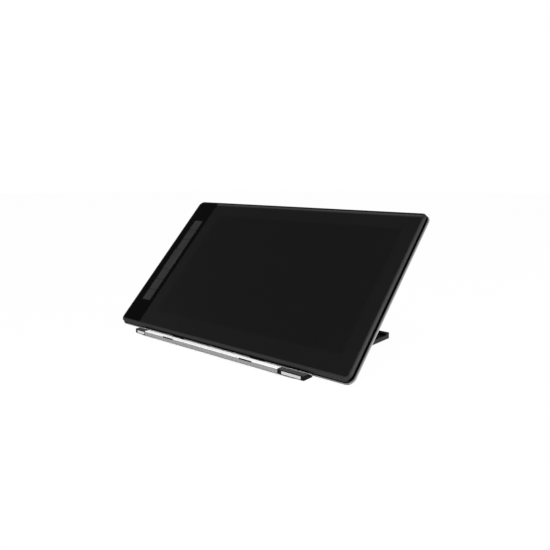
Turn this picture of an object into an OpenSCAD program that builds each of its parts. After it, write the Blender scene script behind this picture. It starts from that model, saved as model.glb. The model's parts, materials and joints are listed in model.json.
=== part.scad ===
// Pen display (graphics tablet with a screen) leaning on a low folding stand.
// Millimetres. The ground is z = 0, X runs along the tablet's long side, Y runs to the back.

/* [Tablet] */
// Width of the tablet's frame
tablet_w = 435.6; // [400:0.2:480]
// Height of the tablet's frame, along the slope
tablet_h = 255; // [240:1:280]
// Thickness of the tablet
tablet_t = 10.5; // [9.8:0.1:13]
// Radius of the frame's corners, seen from the front
corner_r = 9; // [7:0.5:14]
// Width of the sloping rim round the glass
rim_w = 4.5; // [3.8:0.1:6]
// Fall of the rim from the glass to the side wall
rim_drop = 2; // [1:0.1:2.6]
// Thickness of the frame's side walls
frame_wall = 8; // [7.5:0.1:9]
// Depth of the metal rear cover
cover_t = 4.6; // [4.2:0.1:5]
// Thickness of the rear cover's floor
cover_floor = 1.2; // [1:0.1:1.4]
// How far the rear cover's edge swells out past the frame
cover_out = 1.8; // [1:0.1:2.4]
// Radius of the rear cover's edge
back_r = 2; // [1.6:0.1:2.2]
// Thickness of the cover glass and of the key panel
glass_t = 1; // [0.8:0.1:1.2]
// Width of the glossy key panel left of the glass
panel_w = 42; // [38:0.2:50]
// Border of the glass left and right of the display panel
lcd_side = 13.4; // [10:0.2:18]
// Border of the glass above and below the display panel
lcd_end = 18; // [14:0.5:24]

/* [Keys] */
// Width of the press keys
key_w = 19.4; // [16:0.2:22]
// Length of one press key
key_l = 20.4; // [16:0.2:23]
// Length of the touch bar between the two sets of keys
bar_l = 41; // [30:1:48]
// Gap between neighbouring keys
key_gap = 0.6; // [0.4:0.1:1]
// How far a key goes down
key_travel = 0.7; // [0.4:0.1:0.8]
// Distance of the key strip's middle line from the frame's left edge
strip_x = 27.3; // [25:0.1:32]
// Width of the power button on the top edge
power_w = 12; // [8:0.5:14]

/* [Stand base] */
// Width of the base's front, over the end blocks
base_w = 324; // [290:1:350]
// Depth of the base
base_d = 225; // [200:1:245]
// Height of the base's rails
base_h = 7; // [6.5:0.1:8]
// Height of the rubber feet below the base
foot_h = 0.8; // [0.6:0.1:1]
// Depth of the metal front bar
bar_d = 8; // [6:0.5:9]
// Width of the right end block
block_w = 41; // [36:1:46]
// Width of the left end block
left_block_w = 23; // [23:1:30]
// Width of a side rail
rail_w = 10; // [8:0.5:12]
// How far the rails stand in from the ends of the front
rail_inset = 12.5; // [6:0.5:16]
// Depth of the rear bar
rear_bar_d = 10; // [8:0.5:14]
// Height of the rear bar
rear_h = 9.2; // [7:0.1:10.5]
// Thickness of the metal tray
tray_t = 1; // [0.8:0.1:1.3]

/* [Stand hinge and prop] */
// Slope of the tablet
tilt = 45; // [40:1:50]
// Distance of the hinge behind the front of the base
hinge_setback = 29.7; // [27:0.1:33]
// Radius of the hinge pins
hinge_pin_r = 1.5; // [1.2:0.1:1.7]
// Radius of the hinge knuckles
knuckle_r = 2.9; // [2.6:0.1:3.2]
// Thickness of the cradle under the tablet's lower edge
cradle_floor = 0.5; // [0.4:0.1:1]
// Distance of the tablet's back from the hinge plane
seat_h = 3.5; // [3.3:0.1:4]
// Thickness of the support plate and of the prop flap
plate_t = 3.4; // [3:0.1:3.8]
// Width of the support plate's upper strip
strip_w = 11.5; // [10:0.5:16]
// Width of the prop flap
flap_w = 180; // [150:1:200]
// Radius of the prop's pivot pins
prop_pin_r = 1.25; // [1:0.05:1.4]
// Radius of the rubber sleeves on the prop's foot
sleeve_r = 3; // [2.7:0.1:3.3]

/* [Hidden] */
$fn = 48;
smooth_fn = 180;

// Clearances, and how far a cut or a joined piece reaches past a face
fit_gap = 0.15;
run_gap = 0.05;
press_gap = 0.02;
slide_gap = 0.3;
side_gap = 0.5;
pad_gap = 0.05;
rest_gap = 0.1;
over = 1;

// Round edge of the rear cover
cover_r = min(back_r, cover_t / 2 - rest_gap);
lip_angle = 50;

// Stand base
front_y = -base_d / 2;
back_y = base_d / 2;
half_base = base_w / 2;
bar_back_y = front_y + bar_d;
bar_chamfer = 0.6;
block_step = 9.8;
block_back_y = bar_back_y + block_step;
block_x = half_base - block_w;
left_block_x = half_base - left_block_w;
ledge_h = 3.8;
block_r = 1;
trim_side = 6.5;
left_trim_side = 1.5;
trim_end = 4.7;
trim_d = 0.8;
trim_rise = 0.6;
trim_drop = 1.8;
rear_bar_y = back_y - rear_bar_d;
rear_r = 3;
rail_out = half_base - rail_inset;
rail_in = rail_out - rail_w;
tray_top = foot_h + tray_t;
base_foot_l = 30;
base_foot_w = 8;
base_foot_r = 2;
stop_x = 77;
stop_w = 22;
inlay_x = [-86, 67];
inlay_w = 22;
inlay_h = 1.4;
inlay_d = 0.8;
cradle_gap = 0.5;

// Stand hinge: the folded plate lies just above the rails, and the cradle carries the cover's round edge
hinge_y = front_y + hinge_setback;
half_t = plate_t / 2;
hinge_h = base_h + half_t + slide_gap;
edge_z = tray_top + cradle_floor + slide_gap + cover_r;
edge_drop = cover_r - cover_out + (hinge_h + (seat_h + cover_r) * cos(tilt) - edge_z) / sin(tilt);
knuckle_len = 11.5;
knuckle_step = 2;

// Prop: both links have one length, so its foot stays level with the hinge and folds into the plate's window
fold_room = 1.5;
plate_gap = 1.3;
plate_len = rear_bar_y - plate_gap - hinge_y;
fold_reach = plate_len - strip_w;
prop_len = (fold_reach - fold_room - sleeve_r) / 2;
prop_knuckle_wall = 1.35;
prop_knuckle_r = prop_pin_r + prop_knuckle_wall;
prop_knuckle_len = 10;
flap_half = flap_w / 2;
flap_slot_l = 34;
flap_slot_pitch = 46;
flap_slot_r = 4;
flap_pivot_rib = 18;
flap_foot_rib = 26;
foot_rod_r = 2;
foot_knuckle_r = 2.8;
sleeve_l = 24;
track_x0 = 40;
track_w = 28;
track_top = hinge_h - sleeve_r - slide_gap;
track_lead = 9;
track_y0 = hinge_y + 2 * prop_len * cos(tilt) - track_lead;
tooth_pitch = 3;
tooth_h = 1;
track_teeth = floor((hinge_y + fold_reach - track_y0) / tooth_pitch);
track_y1 = track_y0 + track_teeth * tooth_pitch;
foot_knuckle_x0 = sleeve_l / 2 + side_gap;
foot_knuckle_x1 = track_x0 - side_gap;

// Support plate
plate_half = rail_in - side_gap;
plate_y0 = knuckle_r + knuckle_step;
window_gap = 1;
window_y0 = prop_len - prop_knuckle_r - 2 * slide_gap;
window_y1 = fold_reach;
window_half = flap_half + window_gap;
plate_r = 5;
slot_n = 5;
slot_l = 36;
slot_w = 14;
slot_r = 3;
slot_rib = 12;
arm_slot_w = 20;
arm_slot_l = 30;
arm_rib = 10;
pad_w = 7;
pad_r = 3;
pad_end = 20;
pad_edge = 2;
pad_low = 10;

// Tablet, counted from the frame's lower edge and from the flat back
half_w = tablet_w / 2;
mid_x = half_w - corner_r;
cover_lip = 0.4;
cavity_inset = frame_wall - cover_lip;
shoulder = tablet_t - rim_drop;
rim_land = 0.5;
glass_seat = tablet_t - glass_t;
glass_gap = 0.1;
split_x = -half_w + rim_w + panel_w;
web_w = 6;
bay_x = half_w - frame_wall;
bay_r = 2;
screw_inset = 11;
screw_r = 0.95;
screw_head_r = 1.9;
screw_head_h = 0.9;
screw_sink = 0.1;
screw_drop = 3.2;
hole_drop = 3;
boss_r = 3.6;
boss_drop = 1.5;
post_r = 2.5;
post_inset = 4;
rear_foot_h = 0.8;
rear_foot_l = 36;
rear_foot_w = 8;
rear_foot_r = 3;
rear_foot_inset = 15;
rear_foot_x = half_w - rear_foot_inset - rear_foot_l;
rear_foot_y = 14;

// Display stack: the boards hang below the frame, and the backlight fills what is left under the display
lcd_x0 = split_x + lcd_side;
lcd_x1 = half_w - rim_w - lcd_side;
lcd_y0 = rim_w + lcd_end;
lcd_y1 = tablet_h - rim_w - lcd_end;
lcd_t = 1.5;
layer_step = 1;
lcd_z = glass_seat - lcd_t;
digitizer_t = 0.8;
shield_t = 0.3;
board_t = 1.2;
flex_t = 0.3;
flex_socket_h = 0.4;
chip_h = 0.7;
flex_z = cover_t - slide_gap - flex_t;
main_board_z = flex_z - flex_socket_h - board_t;
main_top = main_board_z + board_t;
shield_z = main_top + chip_h + slide_gap;
digitizer_z = shield_z + shield_t;
backlight_z = digitizer_z + digitizer_t;
main_half = 60;
main_d = 65;
main_inset = 39;
main_y1 = tablet_h - main_inset;
main_y0 = main_y1 - main_d;
chip_w = 14;
chip_pitch = 33;
flex_w = 12;
flex_drop = 35;
flex_y = main_y1 - flex_drop;
flex_lap = 8;
display_flex_half = 20;
display_flex_lap = 6;

// Sockets, power button and light along the top edge
edge_part_z = (cover_t + shoulder) / 2;
usb_w = 9;
usb_h = 3.2;
usb_l = 10;
usb_wall = 0.4;
usb_back = 2;
usb_sink = 0.4;
tongue_w = 6;
tongue_t = 0.6;
usb_inset = 104;
usb_pitch = 25;
usb_x = [half_w - usb_inset - usb_pitch, half_w - usb_inset];
power_inset = 69;
power_x = half_w - power_inset;
power_h = 2.6;
power_proud = 0.4;
power_flange = 1.4;
power_in = tablet_h - frame_wall - power_flange - rest_gap;
switch_w = 8;
light_inset = 49;
light_x = half_w - light_inset;
light_r = 0.8;
port_z = edge_part_z - usb_h / 2;
port_board_z = port_z - board_t;
port_w = 120;
port_inset = 29;
port_x1 = half_w - port_inset;
port_x0 = port_x1 - port_w;
port_d = 12;
port_y0 = tablet_h - frame_wall - port_d;

// Key strip: three keys, the touch bar and three more keys, counted from the top
strip_mid = -half_w + strip_x;
strip_len = 6 * (key_l + key_gap) + bar_l;
strip_top = tablet_h / 2 + strip_len / 2;
strip_low = strip_top - strip_len;
function key_y(i) = strip_top - (i + 1) * key_l - i * key_gap - (i > 2 ? bar_l + key_gap : 0);
bar_y = key_y(2) - key_gap - bar_l;
strip_r = 2;
key_r = 1.5;
key_sink = 0.2;
key_top = tablet_t - key_sink;
flange_w = 0.8;
flange_t = 1.05;
flange_end = 2;
flange_top = glass_seat - fit_gap;
key_low = flange_top - flange_t;
crown_r = 90;
dot_r = 0.6;
dish_r = 110;
dish_d = 0.4;
mat_t = 0.8;
mat_top = key_low - key_travel - rest_gap;
key_board_z = mat_top - mat_t - board_t;
board_side = 2;
board_end = 4;
key_post_pitch = 67;
plug_side = 3;

// Colours
black = "#161618";
soft_black = "#242427";
rubber = "#1c1c1c";
silver = "#b9bbbd";
steel = "#8f9296";
board_green = "#1f4a35";
gloss_black = "#0c0c0e";
glass_black = "#101114";
display_grey = "#1b1d22";
film_white = "#e9e9e4";
flex_brown = "#8a6a2c";

// Frames of reference
module in_plate() {
    translate([0, hinge_y, hinge_h])
        rotate([tilt, 0, 0])
            children();
}

module in_tablet() {
    in_plate()
        translate([0, -edge_drop, seat_h])
            children();
}

module in_prop() {
    in_plate()
        translate([0, prop_len, 0])
            rotate([-2 * tilt, 0, 0])
                children();
}

// Shapes that repeat
module along_x(x0, x1) {
    translate([x0, 0, 0])
        rotate([90, 0, 90])
            linear_extrude(height = x1 - x0)
                children();
}

module box(x0, x1, y0, y1, z0, z1) {
    translate([x0, y0, z0])
        cube([x1 - x0, y1 - y0, z1 - z0]);
}

module rod(x0, x1, y, z, r) {
    translate([x0, y, z])
        rotate([0, 90, 0])
            cylinder(r = r, h = x1 - x0);
}

module post(x, y, z0, z1, r) {
    translate([x, y, z0])
        cylinder(r = r, h = z1 - z0);
}

module round_box(x0, x1, y0, y1, r) {
    translate([x0 + r, y0])
        square([x1 - x0 - 2 * r, y1 - y0]);
    translate([x0, y0 + r])
        square([x1 - x0, y1 - y0 - 2 * r]);
    for (x = [x0 + r, x1 - r], y = [y0 + r, y1 - r])
        translate([x, y])
            circle(r = r);
}

module round_plate(x0, x1, y0, y1, z0, z1, r) {
    translate([0, 0, z0])
        linear_extrude(height = z1 - z0)
            round_box(x0, x1, y0, y1, r);
}

module both_sides() {
    children();
    mirror([1, 0, 0])
        children();
}

module on_side(side) {
    if (side > 0)
        children();
    else
        mirror([1, 0, 0])
            children();
}

// The tablet's outline, drawn in by an inset
module outline(inset) {
    r = max(corner_r - inset, bay_r);
    round_box(-half_w + inset, half_w - inset, inset, tablet_h - inset, r);
}

module outline_slab(inset, z0, z1) {
    translate([0, 0, z0])
        linear_extrude(height = z1 - z0)
            outline(inset);
}

// A block with the tablet's outline: the child is its edge profile, drawn outwards from a corner's centre
module profiled_block(z0, z1) {
    far_y = tablet_h - corner_r;
    corners = [[mid_x, far_y], [-mid_x, far_y], [-mid_x, corner_r], [mid_x, corner_r]];
    box(-mid_x, mid_x, corner_r, far_y, z0, z1);
    for (i = [0 : 3])
        translate(corners[i])
            rotate(90 * i) {
                rotate_extrude(angle = 90)
                    children();
                rotate([90, 0, 0])
                    linear_extrude(height = i % 2 == 0 ? far_y - corner_r : 2 * mid_x)
                        children();
            }
}

// A bar with round ends that runs through the top wall
module edge_bar(x, w, h, y0, y1) {
    translate([x, y1, edge_part_z])
        rotate([90, 0, 0])
            linear_extrude(height = y1 - y0) {
                square([w - h, h], center = true);
                for (s = [-1, 1])
                    translate([s * (w - h) / 2, 0])
                        circle(r = h / 2);
            }
}

// A slot with round ends through the frame's top wall
module edge_slot(x, w, h) {
    edge_bar(x, w + 2 * fit_gap, h + 2 * fit_gap, tablet_h - frame_wall - over, tablet_h + over);
}

// Side view of the space that the leaning tablet takes up, with some room round it
module tablet_side_view(room) {
    translate([hinge_y, hinge_h])
        rotate(tilt)
            translate([-edge_drop, seat_h])
                round_box(-cover_out - room, tablet_h, -room, tablet_h, cover_r + room);
}

// Stand base: metal front bar with a chamfered front edge
module front_bar() {
    color(silver)
        difference() {
            along_x(-left_block_x, block_x)
                polygon([
                    [front_y, foot_h],
                    [bar_back_y, foot_h],
                    [bar_back_y, base_h],
                    [front_y + bar_chamfer, base_h],
                    [front_y, base_h - bar_chamfer]
                ]);
            for (x = inlay_x)
                inlay(x, over);
        }
}

// One strip in the front bar, and with some room the slot for it
module inlay(x, room) {
    box(x - inlay_w / 2, x + inlay_w / 2, front_y - room, front_y + inlay_d,
        base_h - bar_chamfer - inlay_h, base_h - bar_chamfer);
}

// Rubber strips let into the top of the bar's front face
module bar_inlays() {
    color(rubber)
        for (x = inlay_x)
            inlay(x, 0);
}

// One metal trim plate, and with some room the pocket for it
module trim(side, room) {
    inner_x = side > 0 ? block_x + trim_side : left_block_x + left_trim_side;
    box(inner_x, half_base - trim_end, front_y - room, front_y + trim_d, foot_h + trim_rise, base_h - trim_drop);
}

// Plastic end block: a lip with a pocket for its trim, and a ledge with room for the tablet's lower edge
module end_block(side) {
    inner_x = side > 0 ? block_x : left_block_x;
    color(black)
        on_side(side)
            difference() {
                union() {
                    box(inner_x, half_base - block_r, front_y, block_back_y, foot_h, base_h);
                    box(inner_x, half_base, front_y + block_r, block_back_y - block_r, foot_h, base_h);
                    for (y = [front_y + block_r, block_back_y - block_r])
                        post(half_base - block_r, y, foot_h, base_h, block_r);
                }
                trim(side, over);
                box(inner_x - over, half_base + over, bar_back_y, block_back_y + over, ledge_h, base_h + over);
                along_x(inner_x - over, half_base + over)
                    tablet_side_view(cradle_gap);
            }
}

// Metal trim plates, flush in the end blocks
module block_trims() {
    color(silver)
        for (side = [-1, 1])
            on_side(side)
                trim(side, 0);
}

// Side rail with the cradle for the tablet's lower edge and the hinge ear
module rail(side) {
    color(black)
        on_side(side)
            along_x(rail_in, rail_out)
                difference() {
                    union() {
                        translate([block_back_y, foot_h])
                            square([rear_bar_y - block_back_y, base_h - foot_h]);
                        translate([hinge_y - knuckle_r, foot_h])
                            square([2 * knuckle_r, hinge_h - foot_h]);
                        translate([hinge_y, hinge_h])
                            circle(r = knuckle_r);
                    }
                    tablet_side_view(cradle_gap);
                    translate([hinge_y, hinge_h])
                        circle(r = hinge_pin_r + press_gap);
                }
}

// Rear bar with rounded outer corners
module rear_bar() {
    color(black) {
        box(-rail_out, rail_out, rear_bar_y, back_y - rear_r, foot_h, rear_h);
        box(-rail_out + rear_r, rail_out - rear_r, rear_bar_y, back_y, foot_h, rear_h);
        both_sides()
            post(rail_out - rear_r, back_y - rear_r, foot_h, rear_h, rear_r);
    }
}

// Metal tray between the rails, with a tongue between the end blocks
module base_tray() {
    tongue_x0 = -min(left_block_x, rail_in);
    tongue_x1 = min(block_x, rail_in);
    color(steel) {
        box(-rail_in, rail_in, block_back_y, rear_bar_y, foot_h, tray_top);
        box(tongue_x0, tongue_x1, bar_back_y, block_back_y + over, foot_h, tray_top);
    }
}

// Toothed rubber tracks that the prop's foot stands on
module foot_tracks() {
    teeth = [for (i = [0 : track_teeth - 1], k = [0, 1])
        [track_y0 + (i + k / 2) * tooth_pitch, track_top - (1 - k) * tooth_h]];
    color(rubber)
        both_sides()
            along_x(track_x0, track_x0 + track_w)
                polygon(concat(
                    [[track_y0, tray_top]],
                    teeth,
                    [[track_y1, track_top - tooth_h], [track_y1, tray_top]]
                ));
}

// Rubber cradles behind the front bar for the tablet's lower edge
module stop_pads() {
    color(rubber)
        both_sides()
            along_x(stop_x - stop_w / 2, stop_x + stop_w / 2)
                difference() {
                    translate([bar_back_y, tray_top])
                        square([hinge_y - knuckle_r - side_gap - bar_back_y, base_h - tray_top]);
                    tablet_side_view(slide_gap);
                }
}

// Rubber feet under the end blocks and the rear bar
module base_feet() {
    color(rubber)
        both_sides() {
            round_plate(half_base - base_foot_l - block_r, half_base - block_r, front_y + block_r,
                front_y + block_r + base_foot_w, 0, foot_h, base_foot_r);
            round_plate(rail_out - base_foot_l - rear_r, rail_out - rear_r, back_y - block_r - base_foot_w,
                back_y - block_r, 0, foot_h, base_foot_r);
        }
}

// Steel pins of the main hinge
module hinge_pins() {
    color(steel)
        both_sides()
            rod(plate_half - knuckle_len + side_gap, rail_out - side_gap, hinge_y, hinge_h, hinge_pin_r);
}

// Support plate, lower part, with the hinge knuckles and two rows of slots
module plate_lower() {
    slot_pitch = 2 * (plate_half - knuckle_len) / slot_n;
    top_row = window_y0 - slot_rib - slot_w / 2;
    color(soft_black)
        in_plate()
            difference() {
                union() {
                    box(-plate_half, plate_half, plate_y0, window_y0, -half_t, half_t);
                    both_sides() {
                        rod(plate_half - knuckle_len, plate_half, 0, 0, knuckle_r);
                        box(plate_half - knuckle_len, plate_half, 0, plate_y0 + over, -half_t, half_t);
                    }
                }
                both_sides()
                    rod(plate_half - knuckle_len - over, plate_half + over, 0, 0, hinge_pin_r + run_gap);
                for (i = [0 : slot_n - 1], y = [top_row, top_row - slot_w - slot_rib])
                    translate([(i - (slot_n - 1) / 2) * slot_pitch, y, 0])
                        round_plate(-slot_l / 2, slot_l / 2, -slot_w / 2, slot_w / 2,
                            -plate_t, plate_t, slot_r);
            }
}

// Support plate, one of the two arms beside the prop
module plate_arm(side) {
    slot_mid = (window_half + plate_half) / 2;
    color(soft_black)
        in_plate()
            on_side(side)
                difference() {
                    union() {
                        box(window_half, plate_half, window_y0, window_y1, -half_t, half_t);
                        rod(window_half, window_half + prop_knuckle_len, prop_len, 0, prop_knuckle_r);
                    }
                    rod(window_half - over, window_half + prop_knuckle_len + over, prop_len, 0,
                        prop_pin_r + press_gap);
                    for (k = [1, 2])
                        translate([slot_mid, window_y1 - k * (arm_slot_l + arm_rib), 0])
                            round_plate(-arm_slot_w / 2, arm_slot_w / 2, 0, arm_slot_l,
                                -plate_t, plate_t, slot_r);
                }
}

// Support plate, upper cross strip
module plate_upper() {
    color(soft_black)
        in_plate() {
            box(-plate_half, plate_half, window_y1, plate_len - plate_r, -half_t, half_t);
            box(-plate_half + plate_r, plate_half - plate_r, window_y1, plate_len, -half_t, half_t);
            both_sides()
                post(plate_half - plate_r, plate_len - plate_r, -half_t, half_t, plate_r);
        }
}

// Rubber strips on the support plate that the tablet leans on
module plate_pads() {
    color(rubber)
        in_plate() {
            for (y = [pad_low, plate_len - pad_edge - pad_w])
                round_plate(-plate_half + pad_end, plate_half - pad_end, y, y + pad_w,
                    half_t, seat_h - pad_gap, pad_r);
            both_sides()
                round_plate(plate_half - pad_edge - pad_w, plate_half - pad_edge, window_y0 + pad_w,
                    window_y1 - pad_w, half_t, seat_h - pad_gap, pad_r);
        }
}

// Steel pins of the prop
module prop_pins() {
    color(steel)
        in_plate()
            both_sides()
                rod(flap_half - prop_knuckle_len + over, window_half + prop_knuckle_len - over, prop_len, 0,
                    prop_pin_r);
}

// Prop flap with knuckles at the pivot and round the foot rod
module prop_flap() {
    color(soft_black)
        in_prop()
            difference() {
                union() {
                    box(-flap_half, flap_half, prop_knuckle_r + slide_gap, prop_len - sleeve_r - over,
                        -half_t, half_t);
                    both_sides() {
                        rod(flap_half - prop_knuckle_len, flap_half, 0, 0, prop_knuckle_r);
                        box(flap_half - prop_knuckle_len, flap_half, 0, prop_knuckle_r + over,
                            -half_t, half_t);
                        rod(foot_knuckle_x0, foot_knuckle_x1, prop_len, 0, foot_knuckle_r);
                        box(foot_knuckle_x0, foot_knuckle_x1, prop_len - sleeve_r - 2 * over, prop_len,
                            -half_t, half_t);
                    }
                }
                both_sides()
                    rod(flap_half - prop_knuckle_len - over, flap_half + over, 0, 0, prop_pin_r + run_gap);
                rod(-flap_half, flap_half, prop_len, 0, foot_rod_r + press_gap);
                for (x = [-1, 0, 1] * flap_slot_pitch)
                    round_plate(x - flap_slot_l / 2, x + flap_slot_l / 2, prop_knuckle_r + flap_pivot_rib,
                        prop_len - sleeve_r - flap_foot_rib, -plate_t, plate_t, flap_slot_r);
            }
}

// Steel rod through the prop's foot
module foot_rod() {
    rod_half = track_x0 + sleeve_l + 2 * over;
    color(steel)
        in_prop()
            rod(-rod_half, rod_half, prop_len, 0, foot_rod_r);
}

// Rubber sleeves on the foot rod
module foot_sleeves() {
    color(rubber)
        in_prop()
            for (x = [-track_x0 - sleeve_l, -sleeve_l / 2, track_x0])
                difference() {
                    rod(x, x + sleeve_l, prop_len, 0, sleeve_r);
                    rod(x - over, x + sleeve_l + over, prop_len, 0, foot_rod_r + press_gap);
                }
}

// Places of the six rear screws
screw_places = [for (x = [-half_w + screw_inset, (lcd_x0 + lcd_x1) / 2, half_w - screw_inset],
    y = [screw_inset, tablet_h - screw_inset]) [x, y]];

// Posts on the rear cover's floor: places and heights
cover_posts = concat(
    [for (p = screw_places) [p.x, p.y, cover_t, boss_r]],
    [for (x = [post_inset - main_half, main_half - post_inset],
        y = [main_y0 + post_inset, main_y1 - post_inset]) [x, y, main_board_z, post_r]],
    [for (x = [port_x0 + post_inset, port_x1 - post_inset]) [x, port_y0 + port_d / 2, port_board_z, post_r]],
    [for (k = [-1, 0, 1]) [strip_mid, tablet_h / 2 + k * key_post_pitch, key_board_z, post_r]]
);

// Edge profile of the rear cover: it slopes out from the frame and rounds into the flat back
module cover_profile() {
    round_x = corner_r + cover_out - cover_r;
    polygon([
        [0, 0],
        [round_x, 0],
        [round_x, cover_r],
        [round_x + cover_r * cos(lip_angle), cover_r + cover_r * sin(lip_angle)],
        [corner_r, cover_t],
        [0, cover_t]
    ]);
    translate([round_x, cover_r])
        circle(r = cover_r, $fn = smooth_fn);
}

// Metal rear cover: a shallow tray with a swelling edge, screw posts and board posts
module rear_cover() {
    color(silver)
        in_tablet()
            difference() {
                union() {
                    difference() {
                        profiled_block(0, cover_t)
                            cover_profile();
                        outline_slab(cavity_inset, cover_floor, cover_t + over);
                    }
                    for (p = cover_posts)
                        post(p[0], p[1], cover_floor - rest_gap, p[2], p[3]);
                }
                for (p = screw_places) {
                    post(p.x, p.y, -over, cover_t + over, screw_r + fit_gap);
                    post(p.x, p.y, -over, screw_head_h + rest_gap, screw_head_r + fit_gap);
                }
            }
}

// Edge profile of the frame: side wall, sloping rim and a narrow land beside the glass
module frame_profile() {
    polygon([
        [0, cover_t],
        [corner_r, cover_t],
        [corner_r, shoulder],
        [corner_r - rim_w + rim_land, tablet_t],
        [0, tablet_t]
    ]);
}

// Plastic frame: side walls, sloping rim, seat for the glass and a web beside the key bay
module mid_frame() {
    color(black)
        in_tablet()
            difference() {
                union() {
                    difference() {
                        profiled_block(cover_t, tablet_t)
                            frame_profile();
                        outline_slab(rim_w, glass_seat, tablet_t + over);
                        round_plate(-bay_x, split_x - web_w / 2, frame_wall, tablet_h - frame_wall,
                            cover_t - over, glass_seat + over, bay_r);
                        round_plate(split_x + web_w / 2, bay_x, frame_wall, tablet_h - frame_wall,
                            cover_t - over, glass_seat + over, bay_r);
                    }
                    for (p = screw_places)
                        post(p.x, p.y, cover_t, glass_seat - boss_drop, boss_r);
                }
                for (p = screw_places)
                    post(p.x, p.y, cover_t - over, glass_seat - hole_drop, screw_r + press_gap);
                for (x = usb_x)
                    edge_slot(x, usb_w, usb_h);
                edge_slot(power_x, power_w, power_h);
                translate([light_x, tablet_h + over, edge_part_z])
                    rotate([90, 0, 0])
                        cylinder(r = light_r + press_gap, h = frame_wall + 2 * over);
            }
}

// One half of the front: the glass outline on one side of the line between glass and key panel
module front_part(x0) {
    intersection() {
        outline(rim_w + glass_gap);
        translate([x0, 0])
            square([tablet_w, tablet_h]);
    }
}

// Etched cover glass
module cover_glass() {
    color(glass_black)
        in_tablet()
            translate([0, 0, glass_seat])
                linear_extrude(height = glass_t)
                    front_part(split_x + fit_gap / 2);
}

// Glossy panel round the key strip
module key_panel() {
    color(gloss_black)
        in_tablet()
            translate([0, 0, glass_seat])
                linear_extrude(height = glass_t)
                    difference() {
                        front_part(split_x - fit_gap / 2 - tablet_w);
                        round_box(strip_mid - key_w / 2 - slide_gap, strip_mid + key_w / 2 + slide_gap,
                            strip_low - slide_gap, strip_top + slide_gap, strip_r);
                    }
}

// Cap of a key or of the touch bar, from some height up to the front, with a flange under the panel
module cap(y0, l, z0) {
    round_plate(strip_mid - key_w / 2, strip_mid + key_w / 2, y0, y0 + l, z0, key_top, key_r);
    box(strip_mid - key_w / 2 - flange_w, strip_mid + key_w / 2 + flange_w, y0 + flange_end,
        y0 + l - flange_end, z0, flange_top);
}

// A long cylinder along the key strip, for the crown of the keys and the dish of the touch bar
module strip_cylinder(y0, l, z, r) {
    translate([strip_mid, y0 - over, z])
        rotate([-90, 0, 0])
            cylinder(r = r, h = l + 2 * over, $fn = smooth_fn);
}

// One press key: a crowned cap, with a dot on the middle keys
module express_key(i) {
    y0 = key_y(i);
    color(soft_black)
        in_tablet() {
            intersection() {
                cap(y0, key_l, key_low);
                strip_cylinder(y0, key_l, key_top - crown_r, crown_r);
            }
            if (i % 3 == 1)
                translate([strip_mid, y0 + key_l / 2, key_top - dot_r / 2])
                    sphere(r = dot_r);
        }
}

// Touch bar with a shallow dish along it
module touch_bar() {
    color(soft_black)
        in_tablet()
            difference() {
                cap(bar_y, bar_l, mat_top);
                strip_cylinder(bar_y, bar_l, key_top - dish_d + dish_r, dish_r);
            }
}

// Rubber spring mat under the keys
module dome_mat() {
    color(rubber)
        in_tablet()
            round_plate(strip_mid - key_w / 2, strip_mid + key_w / 2, strip_low, strip_top,
                key_board_z + board_t, mat_top, strip_r);
}

// Circuit board under the keys, with its cable plug below
module key_board() {
    board_half = key_w / 2 + board_side;
    color(board_green)
        in_tablet() {
            box(strip_mid - board_half, strip_mid + board_half, strip_low - board_end, strip_top + board_end,
                key_board_z, key_board_z + board_t);
            box(strip_mid + plug_side, strip_mid + key_w / 2, flex_y, flex_y + flex_w,
                flex_z + flex_t, key_board_z);
        }
}

// One layer of the display stack, smaller than the display panel by a margin
module display_layer(margin, z0, z1) {
    box(lcd_x0 + margin, lcd_x1 - margin, lcd_y0 + margin, lcd_y1 - margin, z0, z1);
}

// Display panel, bonded to the glass
module lcd_panel() {
    color(display_grey)
        in_tablet()
            display_layer(0, lcd_z, glass_seat);
}

// Backlight unit behind the display panel
module backlight() {
    color(film_white)
        in_tablet()
            display_layer(layer_step, backlight_z, lcd_z);
}

// Pen-sensing board behind the backlight
module digitizer_board() {
    color(board_green)
        in_tablet()
            display_layer(2 * layer_step, digitizer_z, backlight_z);
}

// Steel shield behind the pen-sensing board
module shield_sheet() {
    color(steel)
        in_tablet()
            display_layer(3 * layer_step, shield_z, digitizer_z);
}

// Main circuit board with chips and two flex connectors
module main_board() {
    color(board_green)
        in_tablet() {
            box(-main_half, main_half, main_y0, main_y1, main_board_z, main_top);
            for (k = [-1, 0, 1])
                translate([k * chip_pitch, main_y0 + chip_w, main_top])
                    box(-chip_w / 2, chip_w / 2, 0, chip_w, 0, chip_h);
            box(-main_half, -main_half + flex_lap, flex_y, flex_y + flex_w, main_top, flex_z);
            box(-display_flex_half, display_flex_half, main_y1 - display_flex_lap, main_y1, main_top, flex_z);
        }
}

// Board along the top edge that carries the sockets and the power switch
module port_board() {
    color(board_green)
        in_tablet() {
            box(port_x0, port_x1, port_y0, tablet_h - frame_wall - side_gap, port_board_z, port_z);
            box(power_x - switch_w / 2, power_x + switch_w / 2, port_y0, power_in - key_travel - rest_gap,
                port_z, port_z + power_h);
        }
}

// Two reversible sockets, each a rounded metal shell with a tongue
module usb_sockets() {
    y1 = tablet_h - usb_sink;
    y0 = y1 - usb_l;
    color(steel)
        in_tablet()
            for (x = usb_x) {
                difference() {
                    edge_bar(x, usb_w, usb_h, y0, y1);
                    edge_bar(x, usb_w - 2 * usb_wall, usb_h - 2 * usb_wall, y0 + usb_back, y1 + over);
                }
                translate([x, 0, edge_part_z])
                    box(-tongue_w / 2, tongue_w / 2, y0 + usb_back / 2, y1 - usb_back,
                        -tongue_t / 2, tongue_t / 2);
            }
}

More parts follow.
